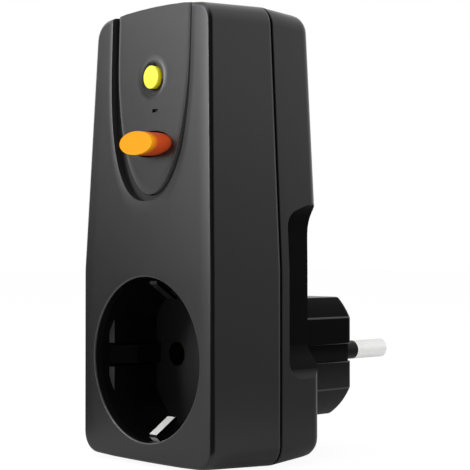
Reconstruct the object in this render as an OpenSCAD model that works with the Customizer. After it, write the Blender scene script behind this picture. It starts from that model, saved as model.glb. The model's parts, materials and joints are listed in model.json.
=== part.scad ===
// Residual-current adapter plug: socket in front, plug boss behind, trip mechanism in the upper half.
// Frame: origin on the plug axis at the boss end face, X right, Y towards the wall, Z up. Millimetres.

/* [Body] */
// Height of the body at the seam
body_h = 110.2; // [108:0.1:114]
// Width of the lower body at the seam
body_w = 49.8; // [48.6:0.1:54]
// Depth from the seam to the front face
front_depth = 21; // [20.4:0.1:24]
// Depth from the seam to the rear face
rear_depth = 14.2; // [14:0.1:18]
// Height of the plug and socket axis above the base
axis_h = 25.2; // [24.4:0.1:27]
// Height at which the sides start to taper
kink_h = 46.3; // [44:0.1:50]
// Inward taper of each side at the top
taper = 3.2; // [1.5:0.1:3.6]
// Backward lean of the front face at the top
lean = 2; // [1:0.1:2.2]
// Forward lean of the rear face at the top
rear_lean = 0.6; // [0:0.1:1]
// Corner radius of the outline
corner_r = 5; // [4.4:0.1:6]
// Crown of the top edge
crown = 1.7; // [1:0.1:2]
// Side draft of the front shell
draft_x = 0.7; // [0.3:0.1:0.9]
// Top and bottom draft of both shells
draft_z = 0.9; // [0.3:0.1:1.1]
// Radius of the front edges
front_edge_r = 1; // [0.8:0.1:1.4]
// Radius of the rear edges
rear_edge_r = 3; // [2.4:0.1:3.4]
// Wall thickness
wall = 2.2; // [1.9:0.1:2.3]
// Open gap along the seam
seam_gap = 0.5; // [0.3:0.05:0.6]

/* [Grips] */
// Depth of each grip scoop
grip_depth = 5; // [4:0.1:5]
// Lower end of the scoop above the base
grip_low = 20.6; // [20:0.1:23]
// Upper end of the scoop above the base
grip_high = 62.4; // [58:0.1:64]
// Distance from the seam to the scoop
grip_front = 2.7; // [2.6:0.1:5]

/* [Panel] */
// Half width of the panel recess
panel_w2 = 14.9; // [13:0.1:15.4]
// Distance of the panel tip below the top
panel_drop = 47.4; // [46:0.1:49]
// Distance below the top at which the panel sides start to curve in
panel_curve = 11.2; // [9:0.1:15]
// Fullness of the rim of the panel recess, 2 for an ellipse
panel_full = 2.5; // [2:0.1:2.7]
// Depth of the panel face below the front face
panel_depth = 0.9; // [0.7:0.1:1.1]
// Thickness of the panel plate
panel_t = 2.7; // [2.5:0.1:2.8]
// Width of the groove around the panel plate
groove_in = 1.55; // [1.3:0.05:1.7]
// Depth of the groove below the front face
groove_depth = 1.8; // [1.6:0.1:2]
// Gap between the panel plate and its pocket
panel_gap = 0.1; // [0.05:0.05:0.15]

/* [Buttons] */
// Distance of the test button axis below the top
test_drop = 17.8; // [17.4:0.1:18.6]
// Diameter of the test button
test_d = 5.5; // [5:0.1:6]
// Inward travel of the test button
test_travel = 1.2; // [0.6:0.1:1.2]
// Diameter of the dish around the test button
dish_d = 8.4; // [7.6:0.1:9]
// Distance of the reset button axis below the top
reset_drop = 33.8; // [33.4:0.1:34.2]
// Width of the reset button at its end face
reset_w = 12.2; // [11:0.1:12.4]
// Growth of the reset button towards the panel
reset_flare = 1.3; // [0.4:0.1:1.4]
// Height of the reset button face
reset_t = 5.6; // [5:0.1:6]
// Amount that the reset button stands out of the panel
reset_out = 4.7; // [4:0.1:5.4]
// Inward travel of the reset button
reset_travel = 3; // [2:0.1:3]
// Clearance around each button
button_gap = 0.3; // [0.3:0.05:0.4]
// Distance of the indicator slot below the top
slot_drop = 25.9; // [25.4:0.1:26.4]
// Sideways place of the indicator slot
slot_x = 1.2; // [0.8:0.1:1.3]

/* [Socket] */
// Diameter of the socket recess
recess_d = 39.2; // [39:0.1:39.5]
// Depth of the socket recess
recess_depth = 18; // [17.5:0.1:18.2]
// Distance of the guide flats from the axis
guide_flat = 17.5; // [17.2:0.1:17.8]
// Width of the guide ribs
guide_rib = 4.6; // [4:0.1:4.7]
// Diameter of the pin holes in the floor
hole_d = 6; // [5.6:0.1:6.2]

/* [Plug] */
// Length of the plug boss
boss_len = 19.8; // [19.4:0.1:21]
// Diameter of the plug boss
boss_d = 37.4; // [36.6:0.1:37.8]
// Height of the top flat above the plug axis
boss_top = 14.1; // [13.8:0.1:15]
// Distance of the bottom flat below the plug axis
boss_low = 16.1; // [15.4:0.1:16.3]
// Radius of the edges at the boss end
boss_edge_r = 2; // [1:0.1:2.2]
// Distance between the side flats
boss_side = 32.8; // [32.2:0.1:33.8]
// Width of the side grooves
groove_w = 4.4; // [4.2:0.1:5.4]
// Diameter of the plug pins
pin_d = 4.8; // [4.7:0.02:4.84]
// Length of the plug pins
pin_len = 19.1; // [18.5:0.1:20]
// Distance between the pins
pin_pitch = 19; // [18.9:0.05:19.1]
// Length of the pin sleeves outside the boss
sleeve_len = 6.9; // [6:0.1:10]

/* [Hidden] */
$fn = 64;
seam_y = -(boss_len + rear_depth);
front_y = seam_y - front_depth;
rear_y = -boss_len;
rear_in = rear_y - wall;
cavity_y = rear_in - rear_lean;
spigot_in = 1.2;
boss_wall = 3;
bot_z = -axis_h;
top_z = body_h - axis_h;
kink_z = kink_h - axis_h;
half_w = body_w / 2;
lean_a = atan(lean / (body_h - kink_h));
rear_lean_a = atan(rear_lean / (body_h - kink_h));
recess_r = recess_d / 2;
cup_t = 1.5;
cup_r = recess_r + cup_t;
cup_gap = 0.3;
floor_y = front_y + recess_depth;
floor_back = floor_y + 2.4;
test_z = top_z - test_drop;
reset_z = top_z - reset_drop;
slot_z = top_z - slot_drop;
panel_z = top_z - panel_drop;
upper_in = front_y + 7.2;
test_y = upper_in + 2.7 + test_travel + 0.35;
pin_x = pin_pitch / 2;
pin_r = pin_d / 2;
fit_gap = 0.05;
neck_r = pin_r - 0.3;
core_r = pin_r - 0.8;
screw_pts = [[half_w - corner_r - 1.2, bot_z + corner_r + 1.3],
    [half_w - taper - corner_r - 2.6, top_z - corner_r - 4]];
strip_zs = [boss_top - 0.5, 0.5 - boss_low];
screw_r = 1.45;
seat_y = seam_y + 4.2;

// Trip mechanism places
lever_y = front_y + 15;
lever_z = reset_z + 13;
low_arm = 11.2;
up_arm = 10;
lever_turn = reset_travel / low_arm * 180 / PI;
plunger_z = lever_z + up_arm;
plunger_y = lever_y + up_arm * sin(lever_turn / 2);
bar_y = rear_in - 4.9;
bar_t = 0.8;
coil_y0 = lever_y + 6.8;
coil_y1 = bar_y + 0.9;
board_y = cavity_y - 0.3;
board_t = 1.4;
board_w2 = half_w - 0.4 - grip_depth - (wall - 0.3) - 1.7;
part_x = half_w - 11.5;
reset_base_w = reset_w + 2 * reset_flare;
reset_base_t = reset_t - 0.1;
reset_gap = button_gap + 0.06;
board_in = board_y - board_t;
core_in = 6;
core_out = 8.4;
core_h = 6.8;
ct_y = front_y + 17.5;
strap_low = cup_r + 2.3;
strap_high = reset_z - 7.2;
ct_z = (strap_low + bar_t + strap_high) / 2;

function panel_face_y(z) = front_y + (z - kink_z) * tan(lean_a) + panel_depth;

function arc(cx, cz, r, a0, a1, n) =
    [for (i = [0:n]) let (a = a0 + (a1 - a0) * i / n) [cx + r * cos(a), cz + r * sin(a)]];

function low_half(w, zb, r) = concat(
    [for (i = [0:2]) let (x = (w - r) * i / 3) [x, zb + 0.3 * x * x / w / w]],
    arc(w - r, zb + 0.3 + r, r, -90, 0, 6),
    [[w, kink_z]]);

function high_half(w, t, zt, r) = concat(
    [[w, kink_z]],
    arc(w - t - r, zt - crown * 0.6 - r, r, 3, 90, 6),
    [for (i = [2:-1:0]) let (x = (w - t - r) * i / 3) [x, zt - crown * x * x / w / w]]);

function both(h) =
    concat(h, [for (i = [len(h) - 1:-1:0]) if (h[i][0] > 0.001) [-h[i][0], h[i][1]]]);

function rest(h) = [for (i = [1:len(h) - 1]) h[i]];

function whole(w, t, zb, zt, r) = both(concat(low_half(w, zb, r), rest(high_half(w, t, zt, r))));

module xz(y0, y1) translate([0, y1, 0]) rotate([90, 0, 0]) linear_extrude(y1 - y0) children();

module ycyl(x, z, y0, y1, r) translate([x, y0, z]) rotate([-90, 0, 0]) cylinder(h = y1 - y0, r = r);

module box(x0, x1, y0, y1, z0, z1) translate([x0, y0, z0]) cube([x1 - x0, y1 - y0, z1 - z0]);

module both_sides() {
    children();
    mirror([1, 0, 0]) children();
}

// Thin slabs of the outline at one depth, the upper part tilted about the kink line
module slabs(y, w, t, zb, zt, r, tilt) {
    xz(y - 0.01, y + 0.01) polygon(both(low_half(w, zb, r)));
    translate([0, y, kink_z]) rotate([-tilt, 0, 0]) translate([0, -y, -kink_z])
        xz(y - 0.01, y + 0.01) polygon(both(high_half(w, t, zt, r)));
}

module front_outer() {
    wf = half_w - draft_x;
    e = front_edge_r;
    hull() {
        xz(seam_y - seam_gap - 0.02, seam_y - seam_gap) polygon(whole(half_w, taper, bot_z, top_z, corner_r));
        for (a = [0:22.5:90])
            let (in = e * (1 - cos(a)))
            slabs(front_y + e * (1 - sin(a)), wf - in, taper - 0.45, bot_z + draft_z + in,
                top_z - draft_z - in, corner_r - in, lean_a);
    }
}

module front_cavity() {
    difference() {
        hull() {
            xz(seam_y, seam_y + 0.5)
                polygon(whole(half_w - wall, taper, bot_z + wall, top_z - wall, corner_r - wall));
            xz(front_y + wall, front_y + wall + 0.02)
                polygon(whole(half_w - draft_x - wall, taper, bot_z + draft_z + wall,
                    top_z - draft_z - wall, corner_r - wall));
        }
        box(-half_w, half_w, front_y, upper_in, panel_z - 4, top_z + 1);
    }
}

module rear_outer() {
    wr = half_w - 0.4;
    e = rear_edge_r;
    hull() {
        xz(seam_y, seam_y + 0.02) polygon(whole(half_w, taper, bot_z, top_z, corner_r));
        for (a = [0:18:90])
            let (in = e * (1 - cos(a)))
            slabs(rear_y - e * (1 - sin(a)), wr - in, taper, bot_z + draft_z + in,
                top_z - 0.6 - in, corner_r - in * 0.9, -rear_lean_a);
    }
}

module rear_cavity() hull() {
    xz(seam_y - 0.5, seam_y)
        polygon(whole(half_w - wall, taper, bot_z + wall, top_z - wall, corner_r - wall));
    xz(cavity_y - 0.02, cavity_y)
        polygon(whole(half_w - 0.4 - wall - 1, taper, bot_z + draft_z + wall + 0.8,
            top_z - 0.6 - wall - 0.8, corner_r - wall));
}

// Depth of the scoop along its smooth lower ramp and its round upper end, u from 0 to 1
function ramp(u) = grip_depth * (0.5 - 0.5 * cos(180 * u));
function bowl(u) = grip_depth * sqrt(1 - (1 - u) * (1 - u));

// Grip scoop on the right side, grown by g for the wall behind it
module grip(g) {
    z0 = grip_low - axis_h - g;
    z1 = grip_high - axis_h + g;
    y0 = seam_y + grip_front - g;
    xs = half_w - 0.4 - g;
    x0 = xs - grip_depth;
    c = 4.5;
    intersection() {
        xz(seam_y - 1, rear_y + 1 - (g > 0 ? 0.5 : 0)) polygon(concat(
            [[half_w + 3, z0 - 0.6], [xs, z0]],
            [for (i = [1:8]) [xs - ramp(i / 8), z0 + i]],
            [for (i = [8:-1:1]) [xs - bowl(i * i / 64), z1 - 7.5 * i * i / 64]],
            [[xs, z1], [half_w + 3, z1 + 0.6]]));
        translate([x0 - 1, 0, 0]) rotate([90, 0, 90]) linear_extrude(grip_depth + g + 6) polygon(concat(
            [[rear_y + 2, z0]],
            [for (a = [270:-15:180]) [y0 + c + c * cos(a), z0 + c + c * sin(a)]],
            [for (a = [180:-15:105]) [y0 + c + c * cos(a), z1 - 1.6 - c + c * sin(a)]],
            [[rear_y - 3, z1], [rear_y + 2, z1 + 0.4]]));
    }
}

// Right half of the panel outline, g inside its rim, with fullness n
function panel_half(g, n) =
    let (w = panel_w2 - g, zl = panel_z + g, zc = top_z - panel_curve)
    concat([for (i = [0:18]) let (a = 90 * i / 18) [w * pow(sin(a), 2 / n), zc - (zc - zl) * pow(cos(a), 2 / n)]],
        [[w, top_z + 4]]);

// Prism of the panel shape between two depths below the leaning front face
module panel_prism(d0, d1, g, n = 2)
    translate([0, front_y, kink_z]) rotate([-lean_a, 0, 0]) translate([0, -front_y, -kink_z])
    xz(front_y + d0, front_y + d1) polygon(both(panel_half(g, n)));

// Oval of width w and height h, and the hole that clears it
module oval(y0, y1, z, w, h) xz(y0, y1) translate([0, z])
    polygon([for (i = [0:47]) let (a = 7.5 * i) [w / 2 * cos(a), h / 2 * sin(a)]]);
module reset_hole(y0, y1) oval(y0, y1, reset_z, reset_base_w + 2 * reset_gap, reset_base_t + 2 * reset_gap);

module four_screws() both_sides() for (p = screw_pts) translate([p[0], 0, p[1]]) children();

// Seat of the transformer core on the inside of the front face
module ct_seat() difference() {
    box(-3, 3, front_y + wall - 0.5, ct_y - core_in, ct_z - core_h / 2 - 1.6, ct_z + core_h / 2 - 0.4);
    translate([0, ct_y, ct_z - core_h / 2 - fit_gap]) cylinder(h = 2 * core_h, r = core_out + fit_gap);
}

module front_cover() color([0.09, 0.09, 0.1]) difference() {
    union() {
        difference() {
            front_outer();
            front_cavity();
        }
        both_sides() {
            ycyl(screw_pts[0][0], screw_pts[0][1], front_y + wall - 0.6, seam_y - seam_gap, 3);
            ycyl(screw_pts[1][0], screw_pts[1][1], upper_in - 1, seam_y - seam_gap, 3);
        }
        ycyl(0, slot_z, upper_in - 0.5, upper_in + 2.6, 2.4);
        ct_seat();
    }
    xz(seam_y - seam_gap - 2, seam_y + 1)
        polygon(whole(half_w - 1.1, taper, bot_z + 1.1, top_z - 1.1, corner_r - 1.1));
    ycyl(0, 0, front_y - 1, front_y + 6, recess_r);
    ycyl(0, 0, front_y + wall, seam_y + 1, cup_r + cup_gap);
    panel_prism(-2, groove_depth, 0, panel_full);
    panel_prism(0, panel_depth + panel_t, groove_in - panel_gap);
    ycyl(0, test_z, front_y - 1, upper_in + 1, test_d / 2 + button_gap);
    reset_hole(front_y - 1, upper_in + 1);
    ycyl(0, slot_z, front_y, upper_in + 4, 1.6);
    four_screws() ycyl(0, 0, upper_in + 2, seam_y + 1, screw_r + fit_gap);
}

module rear_cover() color([0.09, 0.09, 0.1]) difference() {
    union() {
        difference() {
            rear_outer();
            difference() {
                rear_cavity();
                both_sides() grip(wall - 0.3);
            }
            both_sides() grip(0);
        }
        difference() {
            xz(seam_y - 1.8, seam_y + 0.6)
                polygon(whole(half_w - 1.3, taper, bot_z + 1.3, top_z - 1.3, corner_r - 1.3));
            xz(seam_y - 3, seam_y + 2)
                polygon(whole(half_w - wall, taper, bot_z + wall, top_z - wall, corner_r - wall));
        }
        difference() {
            four_screws() ycyl(0, 0, seam_y, rear_in - 0.2, 4.3);
            difference() {
                box(-half_w * 2, half_w * 2, seam_y - 1, rear_y + 1, bot_z * 2, top_z * 2);
                xz(seam_y - 1, rear_y + 1)
                    polygon(whole(half_w - 1.4, taper + 0.6, bot_z + 2, top_z - 2, corner_r - 1));
            }
        }
    }
    boss_shape(cavity_y - 1, rear_y + 1, spigot_in);
    strip_slots();
    four_screws() {
        ycyl(0, 0, seam_y - 1, rear_y + 1, screw_r + 0.2);
        ycyl(0, 0, seat_y, rear_y + 1, 3.2);
    }
}

// Round shape with flats, g inside the outline of the plug boss
module boss_shape(y0, y1, g) intersection() {
    ycyl(0, 0, y0, y1, boss_d / 2 - g);
    box(-boss_side / 2 + g, boss_side / 2 - g, y0, y1, -boss_low + g, boss_top - g);
}

module strip_slots() for (z = strip_zs)
    box(-2.7, 2.7, cavity_y - 1, -2.8, z - 0.7, z + 0.7);

// Outline of the boss end from u0 to u1 across, with round corners at the end face
function round_end(u0, u1) = concat(
    [[u0, rear_y], [u1, rear_y]],
    arc(u1 - boss_edge_r, -boss_edge_r, boss_edge_r, 0, 90, 6),
    u0 == 0 ? [[0, 0]] : arc(u0 + boss_edge_r, -boss_edge_r, boss_edge_r, 90, 180, 6));

// Plug boss: round body with flats, side grooves and a spigot in the rear wall
module plug_boss() color([0.09, 0.09, 0.1]) difference() {
    union() {
        intersection() {
            rotate([-90, 0, 0]) rotate_extrude() polygon(round_end(0, boss_d / 2));
            translate([0, 0, -boss_d]) linear_extrude(2 * boss_d)
                polygon(round_end(-boss_side / 2, boss_side / 2));
            translate([-boss_d, 0, 0]) rotate([90, 0, 90]) linear_extrude(2 * boss_d)
                polygon([for (p = round_end(-boss_low, boss_top)) [p[1], p[0]]]);
        }
        boss_shape(cavity_y, rear_y + 1, spigot_in + fit_gap);
    }
    boss_shape(cavity_y - 1, -3, boss_wall);
    both_sides() {
        ycyl(pin_x, 0, -4, 1, neck_r + fit_gap);
        ycyl(pin_x, 0, -0.5, 1, pin_r + fit_gap);
        translate([0, 0, -groove_w / 2]) linear_extrude(groove_w)
            polygon([[boss_side / 2 - 1.8, 1], [boss_side / 2 - 1.8, rear_y + 4],
                [boss_side / 2 + 0.2, rear_y + 1.4], [boss_side / 2 + 1, rear_y + 1.4],
                [boss_side / 2 + 1, 1]]);
    }
    strip_slots();
}

module panel_plate() color([0.1, 0.1, 0.11]) difference() {
    intersection() {
        panel_prism(panel_depth, panel_depth + panel_t - 0.02, groove_in);
        front_outer();
    }
    ycyl(0, test_z, front_y - 1, seam_y, test_d / 2 + button_gap);
    reset_hole(front_y - 1, seam_y);
    box(slot_x - 1, slot_x + 1, front_y - 1, seam_y, slot_z - 0.35, slot_z + 0.35);
    translate([0, panel_face_y(test_z) - 10.4, test_z]) sphere(r = sqrt(10.4 * 10.4 + dish_d * dish_d / 4));
}

module indicator_lens() color([0.12, 0.03, 0.03]) {
    y1 = panel_face_y(slot_z);
    box(slot_x - 0.9, slot_x + 0.9, y1 + 0.6, y1 + panel_t - 0.1, slot_z - 0.25, slot_z + 0.25);
    box(slot_x - 0.9, 1.2, y1 + 0.6, y1 + panel_t + 0.4, slot_z - 0.25, slot_z + 0.25);
    ycyl(0, slot_z, y1 + panel_t + 0.2, upper_in + 0.4, 1.5);
}

module indicator_led() color([0.8, 0.15, 0.1]) {
    ycyl(0, slot_z, upper_in + 0.7, upper_in + 3.2, 1.5);
    for (s = [-1, 1]) ycyl(s * 0.7, slot_z, upper_in + 3.2, upper_in + 4.2, 0.25);
}

module socket_insert() color([0.06, 0.06, 0.065]) difference() {
    union() {
        difference() {
            ycyl(0, 0, front_y + wall + 0.1, floor_back, cup_r);
            ycyl(0, 0, front_y, floor_y, recess_r);
        }
        both_sides() intersection() {
            ycyl(0, 0, front_y + 4, floor_y + 1, recess_r + 0.5);
            union() {
                for (s = [-1, 1]) translate([0, 0, s * 6 - 3]) linear_extrude(6) polygon([
                    [recess_r + 1, front_y + 3.4], [guide_flat, front_y + 4.5],
                    [guide_flat, floor_y + 1], [recess_r + 1, floor_y + 1]]);
                translate([0, 0, -guide_rib / 2]) linear_extrude(guide_rib) polygon([
                    [recess_r + 1, front_y + 3.6], [guide_flat - 1.7, front_y + 10.4],
                    [guide_flat - 1.7, floor_y + 1], [recess_r + 1, floor_y + 1]]);
            }
        }
    }
    both_sides() ycyl(pin_x, 0, floor_y - 2, floor_back + 1, hole_d / 2);
    for (s = [-1, 1]) {
        box(-2.3, 2.3, front_y + wall + 1.4, floor_back + 1,
            s * (cup_r - 0.2) - 2.6, s * (cup_r - 0.2) + 2.6);
        box(-2.3, 2.3, floor_y - 1, floor_back + 1, s * (cup_r - 5.2) - 2.6, s * (cup_r - 5.2) + 2.6);
    }
}

// One earth clip, bent from strip: foot behind the floor, arm along the slot, nose into the recess
module clip_half() translate([-1.35, 0, 0]) rotate([90, 0, 90]) linear_extrude(2.7) polygon([
    [floor_back + 0.3, 0], [floor_back + 1.1, 0], [floor_back + 1.1, cup_r - 0.5],
    [front_y + wall + 2.6, cup_r - 0.5], [front_y + wall + 0.5, cup_r - 2.5], [front_y + wall + 0.4, cup_r - 3.2],
    [front_y + 8.3, 14.1], [front_y + 8.9, 14.3], [front_y + 8.8, 15], [front_y + 8.3, 15],
    [front_y + wall + 1.4, cup_r - 2.8], [front_y + wall + 2.6, cup_r - 1.3], [floor_back + 0.3, cup_r - 1.3]]);

module earth_bracket() color([0.75, 0.73, 0.68]) difference() {
    union() {
        clip_half();
        mirror([0, 0, 1]) clip_half();
    }
    ycyl(0, 0, floor_back - 1, floor_back + 3, 1.2 + fit_gap);
}

module earth_link() color([0.75, 0.73, 0.68]) {
    ycyl(0, 0, floor_back + 0.4, floor_back + 1.1, 1.2);
    ycyl(0, 0, floor_back + 1.1, rear_in - 2.7, 2);
}

module plug_earth_strip() color([0.75, 0.73, 0.68]) {
    box(-2.5, 2.5, rear_in - 2.7, rear_in - 1.9, 0.6 - boss_low, boss_top - 0.6);
    for (z = strip_zs) box(-2.5, 2.5, rear_in - 2.7, -3, z - 0.5, z + 0.5);
}

module one_contact() difference() {
    union() {
        ycyl(-pin_x, 0, floor_back + 0.3, floor_back + 14, 3.4);
        box(-pin_x - 2, -pin_x + 2, floor_back + 0.3, floor_back + 2.3, 2.6, 6);
    }
    ycyl(-pin_x, 0, floor_back - 1, floor_back + 15, pin_r + 0.03);
    box(-pin_x - 0.4, -pin_x + 0.4, floor_back + 6, floor_back + 15, -4, 4);
    box(-pin_x - 4, -pin_x + 4, floor_back + 6, floor_back + 15, -0.4, 0.4);
}

module line_contact() color([0.78, 0.62, 0.3]) one_contact();
module neutral_contact() color([0.78, 0.62, 0.3]) mirror([1, 0, 0]) one_contact();

module contact_retainer() color([0.2, 0.2, 0.21]) difference() {
    box(-15, 15, floor_back + 2.8, floor_back + 5.6, -6.6, 6.6);
    both_sides() ycyl(pin_x, 0, floor_back, floor_back + 8, 3.45);
    ycyl(0, 0, floor_back, floor_back + 8, 2.05);
    both_sides() box(pin_x - 2.3, pin_x + 2.3, floor_back, floor_back + 3, 0, 7);
}

module one_pin() {
    ycyl(-pin_x, 0, -10, sleeve_len, core_r);
    ycyl(-pin_x, 0, sleeve_len, pin_len - 1, pin_r);
    translate([-pin_x, pin_len - 1, 0]) rotate([-90, 0, 0]) cylinder(h = 1, r1 = pin_r, r2 = pin_r - 0.9);
    ycyl(-pin_x, 0, -10, -7.2, pin_r + 1);
}

module one_sleeve() difference() {
    union() {
        ycyl(-pin_x, 0, 0, sleeve_len, pin_r);
        ycyl(-pin_x, 0, -4.4, 0, neck_r);
        ycyl(-pin_x, 0, -4.4, -3.1, pin_r + 0.9);
    }
    ycyl(-pin_x, 0, -6, sleeve_len + 1, core_r);
}

module line_pin() color([0.8, 0.78, 0.74]) one_pin();
module neutral_pin() color([0.8, 0.78, 0.74]) mirror([1, 0, 0]) one_pin();
module line_sleeve() color([0.05, 0.05, 0.05]) one_sleeve();
module neutral_sleeve() color([0.05, 0.05, 0.05]) mirror([1, 0, 0]) one_sleeve();

module pin_carrier() color([0.2, 0.2, 0.21]) difference() {
    boss_shape(-7.1, -4.5, boss_wall + 0.2);
    both_sides() ycyl(pin_x, 0, -8, -4, core_r + fit_gap);
}

// Strap from the plug pin up to the outer fixed contact
module in_bar() {
    z0 = 7;
    box(-pin_x - 2, -pin_x + 2, -10 - bar_t, -10, -3, z0 + bar_t);
    box(-pin_x - 2, -pin_x + 2, bar_y, -10, z0, z0 + bar_t);
    box(-16, -pin_x + 2, bar_y, bar_y + bar_t, z0, z0 + 4);
    box(-16, -12, bar_y, bar_y + bar_t, z0, reset_z + 2.6);
    ycyl(-14, reset_z, bar_y - 3.7, bar_y, 1.9);
}

// Strap from the inner fixed contact through the transformer to the female contact
module out_bar() {
    zt = strap_high;
    zb = strap_low;
    box(-8.5, -4.5, bar_y, bar_y + bar_t, zt, reset_z + 2.6);
    ycyl(-6.5, reset_z, bar_y - 3.7, bar_y, 1.9);
    box(-8.5, -4.5, ct_y - 1.5, bar_y + bar_t, zt, zt + bar_t);
    box(-8.5, -1, ct_y - 1.5, ct_y + 1.5, zt, zt + bar_t);
    box(-3.8, -1, ct_y - 0.4, ct_y + 0.4, zb, zt + bar_t);
    box(-pin_x - 2, -1, ct_y - 1.5, ct_y + 1.5, zb, zb + bar_t);
    box(-pin_x - 2, -pin_x + 2, ct_y - 1.5, floor_back + 1.6, zb, zb + bar_t);
    box(-pin_x - 2, -pin_x + 2, floor_back + 0.8, floor_back + 1.6, 6, zb + bar_t);
}

module line_in_bar() color([0.72, 0.45, 0.25]) in_bar();
module neutral_in_bar() color([0.72, 0.45, 0.25]) mirror([1, 0, 0]) in_bar();
module line_out_bar() color([0.72, 0.45, 0.25]) out_bar();
module neutral_out_bar() color([0.72, 0.45, 0.25]) mirror([1, 0, 0]) out_bar();

module ct_core() color([0.3, 0.3, 0.33]) translate([0, ct_y, ct_z]) difference() {
    translate([0, 0, -core_h / 2]) cylinder(h = core_h, r = core_out);
    translate([0, 0, -core_h]) cylinder(h = 2 * core_h, r = core_in);
}

module ct_winding() color([0.65, 0.33, 0.15]) translate([0, ct_y, ct_z]) both_sides() rotate([0, 0, -55])
    rotate_extrude(angle = 110) difference() {
        translate([core_in - 0.7, -core_h / 2 - 0.7]) square([core_out - core_in + 1.4, core_h + 1.4]);
        translate([core_in - fit_gap, -core_h / 2 - fit_gap])
            square([core_out - core_in + 2 * fit_gap, core_h + 2 * fit_gap]);
    }

module test_button() color([0.95, 0.85, 0.1]) {
    yf = panel_face_y(test_z) - 0.8;
    difference() {
        ycyl(0, test_z, yf, upper_in + 0.7, test_d / 2);
        difference() {
            ycyl(0, test_z, yf - 1, yf + 0.8, test_d / 2 + 1);
            translate([0, yf + 14, test_z]) sphere(r = 14);
        }
    }
    ycyl(0, test_z, upper_in + 0.6, upper_in + 1.6, 3.5);
    ycyl(0, test_z, upper_in + 1.6, upper_in + 2.7, 1.4);
}

module test_spring() color([0.7, 0.7, 0.72]) translate([0, upper_in + 1.65, test_z]) rotate([-90, 0, 0])
    coil(2.1, 0.2, test_y - 0.05 - upper_in - 1.65, 3);

module test_contact() color([0.78, 0.62, 0.3]) {
    ycyl(0, test_z, test_y, test_y + 0.45, 3);
    box(-9.6, 9.6, test_y, test_y + 0.45, test_z - 1.4, test_z + 1.4);
}

module reset_button() color([0.95, 0.45, 0.08]) {
    yf = panel_face_y(reset_z) - reset_out;
    yb = panel_face_y(reset_z);
    hull() {
        oval(yf, yf + 0.02, reset_z, reset_w, reset_t);
        oval(yb - 0.02, yb, reset_z, reset_base_w, reset_base_t);
    }
    oval(yb - 0.02, upper_in + 0.7, reset_z, reset_base_w, reset_base_t);
    box(-8.6, 8.6, upper_in + 0.3, upper_in + 1.8, reset_z - 4.2, reset_z + 4.2);
    box(-2.5, 2.5, upper_in + 1.8, lever_y - 4.5, reset_z - 2.5, reset_z + 2.5);
}

module contact_carrier() color([0.85, 0.84, 0.8]) difference() {
    union() {
        box(-4, 4, lever_y - 4.5, lever_y + 3, reset_z - 2.6, reset_z + 3);
        box(-17.5, 17.5, lever_y - 0.5, lever_y + 3, reset_z - 2.6, reset_z + 2.6);
        both_sides() ycyl(10.2, reset_z, lever_y + 3, lever_y + 3.6, 1.4);
    }
    box(-5, 5, lever_y - 1.5 - 1.4, lever_y - 1.5 + 1.4, lever_z - low_arm - 0.6, reset_z + 4);
    ycyl(0, reset_z, lever_y + 2.2, lever_y + 4, 3.4);
}

module bridge() {
    box(-16.5, -4, lever_y + 3.6, lever_y + 4.4, reset_z - 1.5, reset_z + 1.5);
    for (x = [-14, -6.5]) ycyl(x, reset_z, lever_y + 4.4, bar_y - 3.7 - reset_travel - 0.3, 1.8);
}

module line_bridge() color([0.8, 0.7, 0.5]) bridge();
module neutral_bridge() color([0.8, 0.7, 0.5]) mirror([1, 0, 0]) bridge();

module reset_spring() color([0.7, 0.7, 0.72]) translate([0, lever_y + 2.25, reset_z]) rotate([-90, 0, 0])
    coil(2.7, 0.3, bar_y + 0.6 - lever_y - 2.3, 6);

module trip_lever() color([0.75, 0.75, 0.78])
    translate([0, lever_y, lever_z]) rotate([-lever_turn / 2, 0, 0]) difference() {
    union() {
        box(-2, 2, -0.8, 0.8, -low_arm, up_arm + 0.3);
        translate([-4, 0, 0]) rotate([0, 90, 0]) cylinder(h = 8, r = 2.2);
    }
    translate([-5, 0, 0]) rotate([0, 90, 0]) cylinder(h = 10, r = 1 + fit_gap);
}

module lever_pin() color([0.8, 0.8, 0.82]) translate([-9.6, lever_y, lever_z]) rotate([0, 90, 0])
    cylinder(h = 19.2, r = 1);

module mechanism_frame() color([0.25, 0.26, 0.28]) difference() {
    union() {
        both_sides() box(8, 9.6, test_y + 0.45, bar_y + 2.4, lever_z - 5.8, lever_z + 3.4);
        box(-9.6, 9.6, bar_y + 0.7, bar_y + 2.4, reset_z + 4, lever_z + 3.4);
        box(-3.9, 3.9, bar_y + 0.7, bar_y + 2.4, reset_z - 5, reset_z + 5);
    }
    translate([-12, lever_y, lever_z]) rotate([0, 90, 0]) cylinder(h = 24, r = 1 + fit_gap);
}

module trip_plunger() color([0.6, 0.6, 0.64]) {
    difference() {
        box(-3, 3, plunger_y - 3.6, plunger_y + 3, plunger_z - 2.5, plunger_z + 2.5);
        box(-4, 4, plunger_y - 1.5, plunger_y + 1.5, plunger_z - 3, plunger_z + 0.9);
    }
    ycyl(0, plunger_z, plunger_y + 3, coil_y1 - 1.2, 1.9);
}

module plunger_spring() color([0.7, 0.7, 0.72])
    translate([0, plunger_y + 3.05, plunger_z]) rotate([-90, 0, 0])
    coil(2.7, 0.2, coil_y0 - 0.85 - (plunger_y + 3.05), 2);

module trip_bobbin() color([0.88, 0.86, 0.8]) difference() {
    union() {
        ycyl(0, plunger_z, coil_y0, coil_y1, 2.7);
        ycyl(0, plunger_z, coil_y0, coil_y0 + 0.8, 5.6);
        ycyl(0, plunger_z, coil_y1 - 0.8, coil_y1, 5.6);
    }
    ycyl(0, plunger_z, coil_y0 - 1, coil_y1 + 1, 1.9 + 0.06);
}

module trip_winding() color([0.65, 0.33, 0.15]) difference() {
    ycyl(0, plunger_z, coil_y0 + 0.85, coil_y1 - 0.85, 5.2);
    ycyl(0, plunger_z, coil_y0, coil_y1, 2.75);
}

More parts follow.
